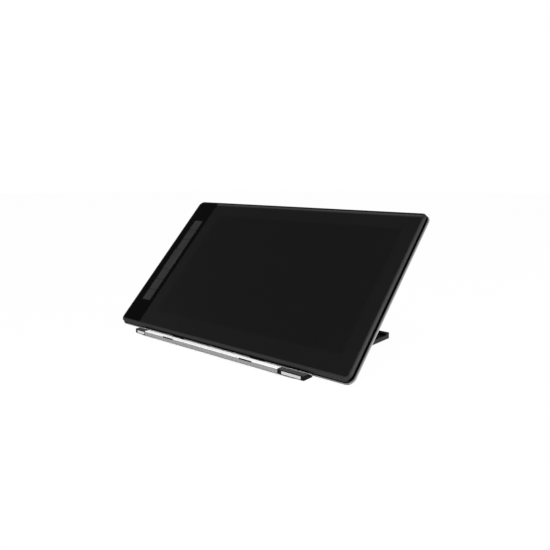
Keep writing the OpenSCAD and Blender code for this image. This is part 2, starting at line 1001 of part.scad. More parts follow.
// Flat cable from the display panel round to the main board
module display_flex() {
    start_y = main_y1 - display_flex_lap;
    color(flex_brown)
        in_tablet()
            along_x(-display_flex_half, display_flex_half)
                polygon([
                    [start_y, flex_z],
                    [lcd_y1 + flex_t, flex_z],
                    [lcd_y1 + flex_t, lcd_z + lcd_t / 2],
                    [lcd_y1, lcd_z + lcd_t / 2],
                    [lcd_y1, flex_z + flex_t],
                    [start_y, flex_z + flex_t]
                ]);
}

// Flat cable from the key board to the main board
module key_flex() {
    color(flex_brown)
        in_tablet()
            box(strip_mid + plug_side, -main_half + flex_lap, flex_y, flex_y + flex_w, flex_z, flex_z + flex_t);
}

// Rubber feet on the tablet's back
module rear_feet() {
    color(rubber)
        in_tablet()
            both_sides()
                for (y = [rear_foot_y, tablet_h - rear_foot_y - rear_foot_w])
                    round_plate(rear_foot_x, rear_foot_x + rear_foot_l, y, y + rear_foot_w,
                        -rear_foot_h, 0, rear_foot_r);
}

// Screws that hold the rear cover to the frame
module rear_screws() {
    color(steel)
        in_tablet()
            for (p = screw_places) {
                post(p.x, p.y, screw_sink, screw_head_h, screw_head_r);
                post(p.x, p.y, screw_head_h - screw_sink, glass_seat - screw_drop, screw_r);
            }
}

// Light guide of the status light on the top edge
module status_light() {
    color(film_white)
        in_tablet()
            translate([light_x, tablet_h, edge_part_z])
                rotate([90, 0, 0])
                    cylinder(r = light_r, h = frame_wall);
}

// Power button: a bar through the top wall with a flange inside
module power_button() {
    wall_y = tablet_h - frame_wall;
    color(black)
        in_tablet() {
            edge_bar(power_x, power_w, power_h, power_in, tablet_h + power_proud);
            edge_bar(power_x, power_w + 2 * over, power_h + power_proud, power_in, wall_y - rest_gap);
        }
}

front_bar();
bar_inlays();
end_block(-1);  // end_block_left
end_block(1);  // end_block_right
block_trims();
rail(-1);  // rail_left
rail(1);  // rail_right
rear_bar();
base_tray();
foot_tracks();
stop_pads();
base_feet();
hinge_pins();
plate_lower();
plate_arm(-1);  // plate_left
plate_arm(1);  // plate_right
plate_upper();
plate_pads();
prop_pins();
prop_flap();
foot_rod();
foot_sleeves();
rear_cover();
mid_frame();
cover_glass();
key_panel();
touch_bar();
dome_mat();
key_board();
lcd_panel();
backlight();
digitizer_board();
shield_sheet();
main_board();
port_board();
usb_sockets();
display_flex();
key_flex();
rear_feet();
rear_screws();
status_light();
for (i = [0 : 5])
    express_key(i);
power_button();
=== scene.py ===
# %% [markdown]
# # A pen display on its folding stand
# The object is a drawing tablet with its own screen, leaning at 45 degrees on a low stand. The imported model
# is the frame: it says where every piece is and what it moves with. This lesson makes the pieces that show
# again with soft edges, gives every surface its finish, and lights it like a product photograph.

# %% Load the frame
import json
import math

import bpy
from mathutils import Matrix, Vector

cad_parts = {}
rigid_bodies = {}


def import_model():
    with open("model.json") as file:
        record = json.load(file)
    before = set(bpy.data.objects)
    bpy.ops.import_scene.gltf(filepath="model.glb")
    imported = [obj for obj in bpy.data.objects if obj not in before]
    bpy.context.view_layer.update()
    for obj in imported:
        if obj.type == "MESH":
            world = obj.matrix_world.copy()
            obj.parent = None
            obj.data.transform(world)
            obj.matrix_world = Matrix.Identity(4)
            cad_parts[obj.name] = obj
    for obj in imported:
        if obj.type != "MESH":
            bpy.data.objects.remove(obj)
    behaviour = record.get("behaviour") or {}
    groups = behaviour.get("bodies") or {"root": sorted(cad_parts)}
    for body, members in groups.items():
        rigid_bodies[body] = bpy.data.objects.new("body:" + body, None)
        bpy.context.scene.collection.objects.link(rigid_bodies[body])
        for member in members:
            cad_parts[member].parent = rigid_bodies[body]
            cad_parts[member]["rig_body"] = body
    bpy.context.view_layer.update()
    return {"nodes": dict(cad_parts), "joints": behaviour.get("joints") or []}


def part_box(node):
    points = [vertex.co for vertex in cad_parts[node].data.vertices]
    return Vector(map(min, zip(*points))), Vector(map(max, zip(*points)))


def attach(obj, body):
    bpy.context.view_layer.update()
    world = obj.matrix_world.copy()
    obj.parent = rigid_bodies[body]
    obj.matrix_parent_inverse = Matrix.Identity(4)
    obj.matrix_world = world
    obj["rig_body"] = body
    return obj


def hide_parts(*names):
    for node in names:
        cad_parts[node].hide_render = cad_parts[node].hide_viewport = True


for leftover in list(bpy.data.objects):
    bpy.data.objects.remove(leftover)
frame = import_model()
MM = 0.001

# %% [markdown]
# ## Camera
# The photograph was taken from the front right, a little above the desk. Its vanishing lines give a focal
# length of 585.5 pixels on a picture 550 pixels wide, which is a 38.3 mm lens on a 36 mm sensor. A camera
# made from those two numbers needs no shift and no depth of field.

# %% Camera
PICTURE_PIXELS = 550
FOCAL_PIXELS = 585.5
SENSOR_MM = 36.0
CAMERA_PLACE = (0.5611, -0.63586, 0.24639)
CAMERA_DOWN = math.radians(10.22)
CAMERA_YAW = math.radians(40.28)
CLIP_END = 50

bpy.ops.object.camera_add(location=CAMERA_PLACE, rotation=(math.pi / 2 - CAMERA_DOWN, 0, CAMERA_YAW))
camera = bpy.context.object
camera.data.sensor_width = SENSOR_MM
camera.data.lens = SENSOR_MM * FOCAL_PIXELS / PICTURE_PIXELS
camera.data.clip_end = CLIP_END
bpy.context.scene.camera = camera
bpy.context.scene.view_settings.view_transform = "Standard"
print("lens", round(camera.data.lens, 2), "mm")

# %% [markdown]
# ## Shader maths as expressions
# A finish is a small tree of nodes. Written node by node it is long and hard to read, so one class wraps a
# socket and turns `a * b + c` into Math nodes, a second makes any node from its type, settings and sockets,
# and a third is a material with its shader. Numbers that are the same all over a surface go on the shader
# itself.

# %% A socket that does maths
class Value:
    """One output socket. Operators on it add Math nodes to its tree."""

    def __init__(self, nodes, socket):
        self.nodes = nodes
        self.socket = socket

    def math(self, operation, first, second=0.0):
        return self.nodes.make("Math", {"operation": operation}, {0: first, 1: second})

    def __add__(self, other):
        return self.math("ADD", self, other)

    def __sub__(self, other):
        return self.math("SUBTRACT", self, other)

    def __mul__(self, other):
        return self.math("MULTIPLY", self, other)

    def __rsub__(self, other):
        return self.math("SUBTRACT", other, self)

    def __gt__(self, other):
        return self.math("GREATER_THAN", self, other)

    def __lt__(self, other):
        return self.math("LESS_THAN", self, other)

    def __abs__(self):
        return self.math("ABSOLUTE", self)

    def most(self, other):
        return self.math("MAXIMUM", self, other)

    __radd__ = __add__
    __rmul__ = __mul__


print("a value takes + - * > < abs and most")

# %% A tree of nodes
class Nodes:
    """A node tree, and the one method that makes its nodes."""

    def __init__(self, tree):
        self.tree = tree
        tree.nodes.clear()

    def make(self, kind, settings=None, sockets=None, out=0):
        node = self.tree.nodes.new("ShaderNode" + kind)
        for key, value in (settings or {}).items():
            setattr(node, key, value)
        for key, value in (sockets or {}).items():
            self.join(node.inputs[key], value)
        return Value(self, node.outputs[out]) if len(node.outputs) else None

    def join(self, socket, value):
        if isinstance(value, Value):
            self.tree.links.new(value.socket, socket)
        else:
            socket.default_value = value

    def axes(self, place):
        split = self.make("SeparateXYZ", None, {0: place}).socket.node
        return [Value(self, output) for output in split.outputs]

    def ramp(self, value, start, end):
        """A share that goes from 0 where the value is at the start to 1 where it is at the end."""
        return self.make("MapRange", None, {"Value": value, "From Min": start, "From Max": end})


print("a tree makes nodes, axes and ramps")

# %% A finish made of nodes
class Finish(Nodes):
    """A material on one Principled shader. Fixed numbers go on the shader's own sockets."""

    def __init__(self, name, fixed):
        self.material = bpy.data.materials.new(name)
        self.material.use_nodes = True
        super().__init__(self.material.node_tree)
        surface = self.make("BsdfPrincipled")
        self.shader = surface.socket.node
        self.make("OutputMaterial", None, {"Surface": surface})
        self.place = self.make("TexCoord", out="Object")
        for socket, value in fixed.items():
            self.feed(socket, value)

    def feed(self, socket, value):
        self.join(self.shader.inputs[socket], value)

    def turned(self, angle, stretch=(1, 1, 1)):
        """Coordinates turned back about X, so that a pattern lies along a sloping piece."""
        sockets = {"Vector": self.place, "Rotation": (angle, 0, 0)}
        level = self.make("Mapping", {"vector_type": "TEXTURE"}, sockets)
        return self.make("Mapping", None, {"Vector": level, "Scale": stretch})

    def noise(self, size, detail=2.0, place=None):
        """Cloudy values from 0 to 1 whose spots are about one size across, in metres."""
        sockets = {"Vector": place or self.place, "Scale": 1 / size, "Detail": detail}
        return self.make("TexNoise", None, sockets)

    def tint(self, share, dark, light):
        """A colour between two colours or two other tints, by a share from 0 to 1."""
        ends = [end if isinstance(end, Value) else (*end, 1) for end in (dark, light)]
        return self.make("Mix", {"data_type": "RGBA"}, {0: share, 6: ends[0], 7: ends[1]}, out=2)

    def bump(self, height, depth):
        sockets = {"Height": height, "Distance": depth, "Strength": 1.0}
        self.feed("Normal", self.make("Bump", None, sockets))


print("a finish can be turned, clouded, tinted and bumped")

# %% A shelf of finishes
FINISH = {}


def grey(level):
    return (level, level, level)


def keep(name, material):
    """Puts a finish on the shelf, under the name by which the pieces ask for it."""
    FINISH[name] = material
    print("finish", name, "has", len(material.node_tree.nodes), "nodes")


print("the shelf is empty:", FINISH)

# %% [markdown]
# ## Slope
# The tablet leans back, so its pieces are easier to measure in axes that lean with it: x across, v up the
# slope and w out of the glass. The angle could be typed in, but the frame knows it: the joint that lifts
# the tablet off its stand moves square to the glass.

# %% Slope of the tablet
lift = next(joint for joint in frame["joints"] if joint["name"] == "tablet_lift")
SLOPE = math.atan2(-lift["axis"][1], lift["axis"][2])


def turned_box(node, turn):
    """Lowest and highest corner of a CAD node, measured in axes that are turned about X."""
    back = Matrix.Rotation(-turn, 3, "X")
    points = [back @ vertex.co for vertex in frame["nodes"][node].data.vertices]
    low = Vector([min(point[axis] for point in points) for axis in range(3)])
    high = Vector([max(point[axis] for point in points) for axis in range(3)])
    return low, high


print("slope", round(math.degrees(SLOPE), 2), "degrees")

# %% [markdown]
# ## Finishes of the tablet's front
# The glass is etched: it scatters light so finely that it looks like dark slate. Under it the lit area of
# the display is a touch darker than the black border printed on the glass, and a grey line painted along
# its upper edge is a painted highlight. The key panel is polished, and the keys have the fine grain that a
# spark-eroded mould leaves. Painted textures could do all this, but noise and masks worked out from the
# pieces' own sizes stay sharp at any distance.

# %% Etched glass
LCD_BORDER = 7.5 * MM
TOP_HIGHLIGHT_BAND = 4.5 * MM


def etched_glass():
    finish = Finish("etched_glass", {"Specular IOR Level": 0.15})
    x, v, _ = finish.axes(finish.turned(SLOPE))
    low, high = turned_box("lcd_panel", SLOPE)
    top = turned_box("cover_glass", SLOPE)[1].y
    lit = (x > low.x + LCD_BORDER) * (x < high.x - LCD_BORDER)
    lit = lit * (v > low.y + LCD_BORDER) * (v < high.y - LCD_BORDER)
    # Painted highlight: a grey band along the glass's upper edge stands in for the line of light there.
    painted_top_highlight = finish.ramp(v, top - TOP_HIGHLIGHT_BAND, top)
    sparkle = finish.noise(0.25 * MM, 1.0)
    haze = finish.noise(60 * MM, 3.0)
    face = finish.tint(lit, grey(0.0068), grey(0.0052))
    finish.feed("Base Color", finish.tint(painted_top_highlight, face, grey(0.05)))
    finish.feed("Roughness", 0.3 + 0.06 * sparkle + 0.05 * haze)
    finish.bump(sparkle, 0.004 * MM)
    return finish.material


keep("glass", etched_glass())

# %% Polished key panel
def polished_panel():
    finish = Finish("polished_panel", {"Specular IOR Level": 0.1})
    smear = finish.noise(28 * MM, 4.0, finish.turned(SLOPE, (1.0, 0.4, 1.0)))
    dust = finish.noise(0.8 * MM, 0.0) > 0.74
    finish.feed("Base Color", finish.tint(dust, grey(0.0012), grey(0.005)))
    finish.feed("Roughness", 0.1 + 0.12 * smear)
    finish.bump(smear, 0.01 * MM)
    return finish.material


keep("panel", polished_panel())

# %% Grained plastics
CLOUD = 35 * MM


def grained_plastic(name, colour, roughness, grain, depth, gloss):
    """Moulded plastic: fine grain in the bump, and slow clouds in colour and roughness."""
    finish = Finish(name, {"Specular IOR Level": gloss})
    fine = finish.noise(grain, 2.0)
    cloud = finish.noise(CLOUD, 3.0)
    speck = fine * 0.7 + cloud * 0.3
    finish.feed("Base Color", finish.tint(speck, grey(0.75 * colour), grey(1.25 * colour)))
    finish.feed("Roughness", roughness - 0.06 + 0.12 * cloud)
    finish.bump(fine, depth)
    return finish.material


key_grain = dict(colour=0.02, roughness=0.55, grain=0.35 * MM, depth=0.02 * MM, gloss=0.3)
plate_grain = dict(colour=0.011, roughness=0.5, grain=0.6 * MM, depth=0.04 * MM, gloss=0.4)
keep("key", grained_plastic("key_grain", **key_grain))
keep("plate", grained_plastic("plate_grain", **plate_grain))

# %% [markdown]
# ## Finishes of the stand's mouldings
# The rails and the rear bar are so matt that they look like black paper, but their outer sides shine a
# little. The end blocks are the same plastic, with a paler grey painted on top as a painted highlight for
# the light that their top and front edge catch. One material with a mask that asks how far out or how high
# a point lies does what two materials and a seam between them would.

# %% Mouldings of the stand
SIDE_SKIN = 0.35 * MM


def matt_moulding():
    """Rails and rear bar: matt and black, and a little smoother on the two outer sides."""
    finish = Finish("matt_moulding", {"Specular IOR Level": 0.02, "Coat Roughness": 0.4})
    x, _, _ = finish.axes(finish.place)
    side = abs(x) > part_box("rear_bar")[1].x - SIDE_SKIN
    fine = finish.noise(0.5 * MM, 2.0)
    cloud = finish.noise(CLOUD, 3.0)
    finish.feed("Base Color", finish.tint(cloud, grey(0.0012), grey(0.0024)))
    finish.feed("Roughness", 0.6 + 0.12 * cloud)
    finish.feed("Coat Weight", side * (0.4 + 0.16 * fine))
    finish.bump(fine, 0.02 * MM)
    return finish.material


def block_with_painted_top_light():
    """End blocks: black grained plastic, with a paler grey painted on top as a painted highlight."""
    finish = Finish("block_with_painted_top_light", {"Specular IOR Level": 0.06})
    _, _, z = finish.axes(finish.place)
    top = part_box("end_block_right")[1].z
    # Painted highlight: the top is a paler grey that stands in for the light the top and its front edge
    # catch.
    painted_top_light = finish.ramp(z, top - 2 * SIDE_SKIN, top)
    fine = finish.noise(0.5 * MM, 2.0)
    cloud = finish.noise(CLOUD, 3.0)
    speck = fine * 0.7 + cloud * 0.3
    side = finish.tint(speck, grey(0.004), grey(0.008))
    finish.feed("Base Color", finish.tint(painted_top_light, side, grey(0.058)))
    finish.feed("Roughness", 0.5 + 0.12 * cloud)
    finish.bump(fine, 0.03 * MM)
    return finish.material


keep("rear", matt_moulding())
keep("block", block_with_painted_top_light())

# %% [markdown]
# ## Finishes of the tablet's shells
# The frame is black plastic, and its rim round the glass, apart from the upper side, and its lower wall are
# painted a dark grey that is painted highlight, with a clear coat on them. The rear cover is aluminium, with
# a black band of painted shade along its joint with the frame and a pale painted highlight on its lower edge
# over the end blocks. Ramps on the height above the back draw these bands: they follow the slope, and they
# fade softly.

# %% Frame with a painted highlight on its rim
RIM_DROP = 2.0 * MM
RIM_FADE = 0.25 * MM
LOWER_FADE = 3.0 * MM
UPPER_RIM = (3.0 * MM, 4.2 * MM)


def frame_with_painted_rim_light():
    """Matt black plastic, painted dark grey as painted highlight on the lower wall and on the rim, apart from
    its upper side, with a clear coat.
    """
    finish = Finish("frame_with_painted_rim_light", {"Specular IOR Level": 0.0, "Coat Roughness": 0.45})
    _, v, w = finish.axes(finish.turned(SLOPE))
    low, high = turned_box("mid_frame", SLOPE)
    shoulder = high.z - RIM_DROP
    lower = finish.ramp(v, low.y + LOWER_FADE, low.y)
    rim = finish.ramp(w, shoulder, shoulder + RIM_FADE) * finish.ramp(high.y - v, *UPPER_RIM)
    fine = finish.noise(0.3 * MM, 2.0)
    cloud = finish.noise(CLOUD, 3.0)
    # Painted highlight: dark grey on the lower wall and on the rim, but not on the rim's upper side, stands
    # in for the light they catch.
    wall = finish.tint(lower, finish.tint(cloud, grey(0.001), grey(0.002)), grey(0.03))
    finish.feed("Base Color", finish.tint(rim, wall, grey(0.019)))
    finish.feed("Roughness", 0.4 + 0.1 * cloud)
    finish.feed("Coat Weight", rim * (0.36 + 0.1 * cloud) + (1 - rim) * lower * 0.2)
    finish.bump(fine, 0.006 * MM)
    return finish.material


keep("frame", frame_with_painted_rim_light())

# %% Rear cover with painted shade at its seam
SIDE_SEAM_SHADE = (0.2 * MM, 2.7 * MM)
LOWER_SEAM_SHADE = (0.8 * MM, 1.0 * MM)


def cover_with_painted_seam_shade():
    """Aluminium blasted with beads: a black band of painted shade at the joint with the frame, and a pale
    painted highlight on the lower edge over the end blocks.
    """
    finish = Finish("cover_with_painted_seam_shade", {"Specular IOR Level": 0.0})
    x, v, w = finish.axes(finish.turned(SLOPE))
    joint = turned_box("mid_frame", SLOPE)[0]
    lower = finish.ramp(v, joint.y + LOWER_FADE, joint.y)
    depth = joint.z - w
    # Painted shade: the black band along the joint with the frame stands in for the dark gap and the dark
    # reflection there.
    beyond_painted_shade = finish.ramp(depth, *SIDE_SEAM_SHADE) * (1 - lower) + finish.ramp(depth, *LOWER_SEAM_SHADE) * lower
    # Painted highlight: the lower edge is a pale white over the end blocks and a dimmer grey elsewhere.
    painted_highlight_over_blocks = abs(x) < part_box("end_block_right")[1].x
    dimple = finish.noise(0.18 * MM, 1.0)
    cloud = finish.noise(50 * MM, 2.0)
    silver = finish.tint(dimple * 0.5 + cloud * 0.5, grey(0.5), grey(0.6))
    edge = finish.tint(painted_highlight_over_blocks, grey(0.24), grey(0.92))
    finish.feed("Base Color", finish.tint(beyond_painted_shade, grey(0.002), finish.tint(lower, silver, edge)))
    finish.feed("Metallic", beyond_painted_shade * (1 - lower * (0.5 + 0.5 * painted_highlight_over_blocks)))
    finish.feed("Roughness", 0.26 + 0.1 * cloud)
    finish.bump(dimple, 0.006 * MM)
    return finish.material


keep("cover", cover_with_painted_seam_shade())

# %% [markdown]
# ## Metals, rubber and powder coat
# Brushed metal is noise that is stretched along the brush, a turned pin has rings round its axis, and
# powder coat is dimpled like the skin of an orange. The marks are fainter than a hair, so they change the
# gloss and the bump far more than the colour. Rubber has pores and a pale bloom instead.

# %% Brushed metals
BAR_CHAMFER = 0.6 * MM
SCRATCH = 0.25 * MM
ALONG_X = (0.015, 1.0, 1.0)
METAL_CLOUD = 40 * MM


def bar_with_painted_light_top():
    """An extruded bar brushed along X: the top painted pale white as painted highlight, the front a darker
    grey as painted shade.
    """
    finish = Finish("bar_with_painted_light_top", {"Specular IOR Level": 0.3})
    _, _, z = finish.axes(finish.place)
    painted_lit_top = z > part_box("front_bar")[1].z - BAR_CHAMFER
    scratch = finish.noise(SCRATCH, 2.0, finish.turned(0.0, ALONG_X))
    cloud = finish.noise(METAL_CLOUD, 2.0)
    # Painted light: a pale white top and a darker grey front stand in for the light on the top and the shade
    # on the front.
    front = finish.tint(scratch, grey(0.24), grey(0.38))
    finish.feed("Base Color", finish.tint(painted_lit_top, front, finish.tint(cloud, grey(0.88), grey(0.95))))
    finish.feed("Metallic", 0.5 - 0.5 * painted_lit_top)
    finish.feed("Roughness", 0.38 + 0.1 * scratch + 0.06 * cloud)
    finish.bump(scratch, 0.002 * MM)
    return finish.material


def brushed_metal(name, colour, roughness, turn=0.0):
    """Metal with long scratches along X."""
    finish = Finish(name, {"Metallic": 1.0})
    scratch = finish.noise(SCRATCH, 2.0, finish.turned(turn, ALONG_X))
    cloud = finish.noise(METAL_CLOUD, 2.0)
    finish.feed("Base Color", finish.tint(scratch, grey(0.93 * colour), grey(1.05 * colour)))
    finish.feed("Roughness", roughness - 0.08 + 0.1 * scratch + 0.06 * cloud)
    finish.bump(scratch, 0.006 * MM)
    return finish.material


keep("bar", bar_with_painted_light_top())
keep("trim", brushed_metal("trim_bright", colour=0.66, roughness=0.26))
keep("socket", brushed_metal("socket_shell", colour=0.5, roughness=0.3, turn=SLOPE))

# %% Turned steel
RINGS_PER_M = 900.0


def turned_steel():
    """Steel pins: rings left by the lathe tool, round the X axis."""
    finish = Finish("turned_steel", {"Metallic": 1.0})
    sockets = {"Vector": finish.place, "Scale": RINGS_PER_M, "Distortion": 0.6}
    ring = finish.make("TexWave", {"bands_direction": "X"}, sockets)
    cloud = finish.noise(3 * MM, 2.0)
    finish.feed("Base Color", finish.tint(cloud, grey(0.48), grey(0.62)))
    finish.feed("Roughness", 0.22 + 0.12 * ring + 0.06 * cloud)
    finish.bump(ring, 0.01 * MM)
    return finish.material


keep("steel", turned_steel())

# %% Rubber and powder coat
def matt_rubber():
    finish = Finish("matt_rubber", {"Specular IOR Level": 0.25})
    pore = finish.noise(0.4 * MM, 3.0)
    bloom = finish.noise(14 * MM, 3.0)
    finish.feed("Base Color", finish.tint(bloom, grey(0.009), grey(0.018)))
    finish.feed("Roughness", 0.72 + 0.16 * pore)
    finish.bump(pore, 0.03 * MM)
    return finish.material


def powder_coat():
    """Black powder coat: the skin of an orange, a little glossy."""
    finish = Finish("powder_coat", {"Specular IOR Level": 0.35})
    peel = finish.noise(1.4 * MM, 1.0)
    cloud = finish.noise(METAL_CLOUD, 2.0)
    finish.feed("Base Color", finish.tint(cloud, grey(0.011), grey(0.018)))
    finish.feed("Roughness", 0.42 + 0.12 * cloud)
    finish.bump(peel, 0.03 * MM)
    return finish.material


keep("rubber", matt_rubber())
keep("tray", powder_coat())

# %% [markdown]
# ## Finishes inside the tablet
# Nobody sees the inside until the tablet is opened on a bench, but then each piece should be known at a
# glance: a green board by its copper tracks and pads, a film by its dots, a flat cable by its lines. Brick
# and Voronoi textures give those patterns without drawing a single track.

# %% Circuit boards
TRACKS_PER_M = 90.0
PADS_PER_M = 260.0


def solder_mask():
    """A circuit board: green mask over copper tracks, with bright pads."""
    finish = Finish("solder_mask", {})
    place = finish.turned(SLOPE)
    bricks = {"Vector": place, "Scale": TRACKS_PER_M, "Mortar Size": 0.06}
    track = finish.make("TexBrick", None, bricks, out="Fac")
    pad = finish.make("TexVoronoi", None, {"Vector": place, "Scale": PADS_PER_M}) < 0.16
    mask = finish.tint(track, (0.012, 0.07, 0.03), (0.03, 0.13, 0.05))
    finish.feed("Base Color", finish.tint(pad, mask, (0.62, 0.52, 0.3)))
    finish.feed("Metallic", pad * 0.9)
    finish.feed("Roughness", 0.32 + 0.1 * track)
    finish.bump(track + pad, 0.03 * MM)
    return finish.material


keep("board", solder_mask())

# %% Films and flat cables
CABLE_PITCH = 1.0 * MM


def display_film(name, dark, light, pitch):
    """A film with a fine printed dot grid, as on a display or a light guide."""
    finish = Finish(name, {"Roughness": 0.3})
    sockets = {"Vector": finish.turned(SLOPE), "Scale": 1 / pitch, "Randomness": 0.0}
    dot = finish.make("TexVoronoi", None, sockets)
    finish.feed("Base Color", finish.tint(dot, dark, light))
    return finish.material


def flat_cable():
    """Amber film with copper lines along it."""
    finish = Finish("flat_cable", {"Roughness": 0.35})
    _, v, _ = finish.axes(finish.turned(SLOPE))
    line = v.math("FRACT", v * (1 / CABLE_PITCH)) > 0.5
    finish.feed("Base Color", finish.tint(line, (0.16, 0.08, 0.015), (0.42, 0.22, 0.07)))
    finish.bump(line, 0.02 * MM)
    return finish.material


keep("display", display_film("display_cells", (0.006, 0.006, 0.009), (0.014, 0.015, 0.018), 0.2 * MM))
keep("film", display_film("light_film", (0.86, 0.86, 0.84), (0.74, 0.75, 0.74), 1.2 * MM))
keep("flex", flat_cable())

# %% [markdown]
# ## Modelling helpers
# A new piece starts as a primitive at its size and place, and is then shaped in edit mode. An operator acts
# on all that is selected, so one helper selects a single object, and another picks edges or faces by their
# place. Sloping pieces are modelled level and turned at the end, because level boxes are easier to think
# about.

# %% Select and pick
NEAR = 0.001 * MM


def only(piece):
    bpy.ops.object.select_all(action="DESELECT")
    piece.select_set(True)
    bpy.context.view_layer.objects.active = piece


def pick(piece, kind, test):
    """Opens edit mode with only the edges or faces selected that pass the test."""
    only(piece)
    bpy.ops.object.mode_set(mode="EDIT")
    bpy.ops.mesh.select_mode(type=kind)
    bpy.ops.mesh.select_all(action="DESELECT")
    bpy.ops.object.mode_set(mode="OBJECT")
    mesh = piece.data
    if kind == "EDGE":
        for edge in mesh.edges:
            start, end = [mesh.vertices[i].co for i in edge.vertices]
            edge.select = test(start, end)
    else:
        for face in mesh.polygons:
            face.select = test(face.center, face.normal)
    bpy.ops.object.mode_set(mode="EDIT")


def done():
    bpy.ops.object.mode_set(mode="OBJECT")


def settle():
    """Writes the selected object's place, turn and size into its mesh."""
    bpy.ops.object.transform_apply(location=True, rotation=True, scale=True)


print("places nearer than", NEAR, "m count as one")

# %% Blocks and rods
def block(name, low, high):
    """A cube primitive between two corners."""
    middle = (Vector(low) + Vector(high)) / 2
    bpy.ops.mesh.primitive_cube_add(size=1, location=middle)
    piece = bpy.context.object
    piece.name = name
    piece.scale = Vector(high) - Vector(low)
    settle()
    return piece


def rod(name, start, end, radius, sides):
    """A cylinder primitive between two points."""
    start, end = Vector(start), Vector(end)
    turn = (end - start).to_track_quat("Z", "Y").to_euler()
    length = (end - start).length
    bpy.ops.mesh.primitive_cylinder_add(
        vertices=sides, radius=radius, depth=length, location=(start + end) / 2, rotation=turn
    )
    piece = bpy.context.object
    piece.name = name
    settle()
    return piece


print("blocks run from corner to corner, rods from point to point")

# %% Rounding and carving
def upright(start, end):
    return abs(start.x - end.x) < NEAR and abs(start.y - end.y) < NEAR


def round_uprights(piece, radius, steps=8, test=None):
    """Rounds the vertical edges of a block with the bevel operator."""
    pick(piece, "EDGE", lambda a, b: upright(a, b) and (test is None or test(a)))
    bpy.ops.mesh.bevel(offset=radius, segments=steps, affect="EDGES", clamp_overlap=False)
    done()
    return piece


def apply_modifier(piece, kind, **settings):
    modifier = piece.modifiers.new(kind.lower(), kind)
    for key, value in settings.items():
        setattr(modifier, key, value)
    only(piece)
    bpy.ops.object.modifier_apply(modifier=modifier.name)


def combine(piece, tools, operation):
    """Cuts tools out of a piece, or adds them to it, and removes the tools."""
    for tool in tools:
        apply_modifier(piece, "BOOLEAN", operation=operation, solver="EXACT", object=tool)
        bpy.data.objects.remove(tool)
    return piece


print("pieces can be rounded and carved")

# %% Joining and copying
def gather(name, pieces):
    """Joins separate solids of one kind into one object."""
    only(pieces[0])
    for piece in pieces:
        piece.select_set(True)
    bpy.ops.object.join()
    pieces[0].name = name
    return pieces[0]


def copy_at(source, name, shift):
    """A copy with a mesh of its own, moved by a shift."""
    piece = bpy.data.objects.new(name, source.data.copy())
    bpy.context.scene.collection.objects.link(piece)
    piece.location = shift
    only(piece)
    settle()
    return piece


print("pieces can be joined and copied")

# %% Last steps of a piece
EASE_ANGLE = math.radians(38)
SMOOTH_ANGLE = math.radians(35)
FLAT_FACES_WEIGHT = 80


def ease(piece, width, steps=3):
    """Breaks every sharp edge by a small round."""
    apply_modifier(
        piece, "BEVEL", width=width, segments=steps, limit_method="ANGLE", angle_limit=EASE_ANGLE,
        use_clamp_overlap=False, miter_outer="MITER_ARC"
    )


def set_up(piece, body, finish, nodes, turn=0.0):
    """Turns a level piece to its slope, shades it with flat faces kept flat, and hands it to its body."""
    only(piece)
    piece.rotation_euler = (turn, 0, 0)
    settle()
    bpy.ops.object.shade_smooth_by_angle(angle=SMOOTH_ANGLE)
    apply_modifier(piece, "WEIGHTED_NORMAL", keep_sharp=True, weight=FLAT_FACES_WEIGHT)
    piece.data.materials.clear()
    piece.data.materials.append(FINISH[finish])
    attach(piece, body)
    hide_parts(*nodes)
    print(piece.name, len(piece.data.polygons), "faces, rides", body)


print("edges over", round(math.degrees(EASE_ANGLE)), "degrees are eased")

# %% [markdown]
# ## Rear cover
# The back of the tablet is a pressed metal pan. Its edge swells out past the frame and then rounds into the
# flat back, which is the bright line along the sides. It starts as a very thin slab at its widest level,
# with round corners. Insetting the top and the bottom face again and again, each time a little in and a
# little out along an arc, gives the swelling edge all the way round.

# %% Draw a face in
FACING = 0.9


def draw_in(piece, side, inward, outward):
    """Insets the top (1) or bottom (-1) face of a piece and moves it along its normal."""
    level = max(vertex.co.z * side for vertex in piece.data.vertices)
    pick(piece, "FACE", lambda centre, normal: normal.z * side > FACING and centre.z * side > level - NEAR)
    bpy.ops.mesh.inset(thickness=inward, depth=outward, use_even_offset=True)
    done()


def draw_arc(piece, side, radius, first, last, steps):
    """Follows an arc that leans from one angle to another, where 0 is an upright wall and 90 is level."""
    angles = [first + (last - first) * step / steps for step in range(steps + 1)]
    for start, end in zip(angles, angles[1:]):
        inward = radius * (math.cos(start) - math.cos(end))
        draw_in(piece, side, inward, radius * (math.sin(end) - math.sin(start)))


def sink(depth):
    """Extrudes the face that was drawn in last straight down."""
    bpy.ops.object.mode_set(mode="EDIT")
    bpy.ops.mesh.extrude_region_move(TRANSFORM_OT_translate={"value": (0, 0, -depth)})
    done()


print("a face can be drawn in and sunk")

# %% Rear cover
CORNER_R = 9 * MM
CORNER_STEPS = 12
EDGE_R = 2 * MM
LIP_ANGLE = math.radians(50)
LIP_STEPS = 6
BACK_STEPS = 8
SLAB = 0.02 * MM
PAN_WALL = 7.6 * MM
PAN_FLOOR = 1.2 * MM
SCREW_RECESS_R = 2.05 * MM
SCREW_SIDES = 40
SCREW_RECESS = 1.0 * MM
SCREW_INSET = 11 * MM

cover_low, cover_high = turned_box("rear_cover", SLOPE)
frame_low, frame_high = turned_box("mid_frame", SLOPE)
lcd_low, lcd_high = turned_box("lcd_panel", SLOPE)
back_w = cover_low.z
pan_depth = frame_low.z - back_w
cover_out = frame_low.x - cover_low.x
screw_xs = [frame_low.x + SCREW_INSET, (lcd_low.x + lcd_high.x) / 2, frame_high.x - SCREW_INSET]
screw_vs = [frame_low.y + SCREW_INSET, frame_high.y - SCREW_INSET]
SCREW_PLACES = [(x, v) for x in screw_xs for v in screw_vs]


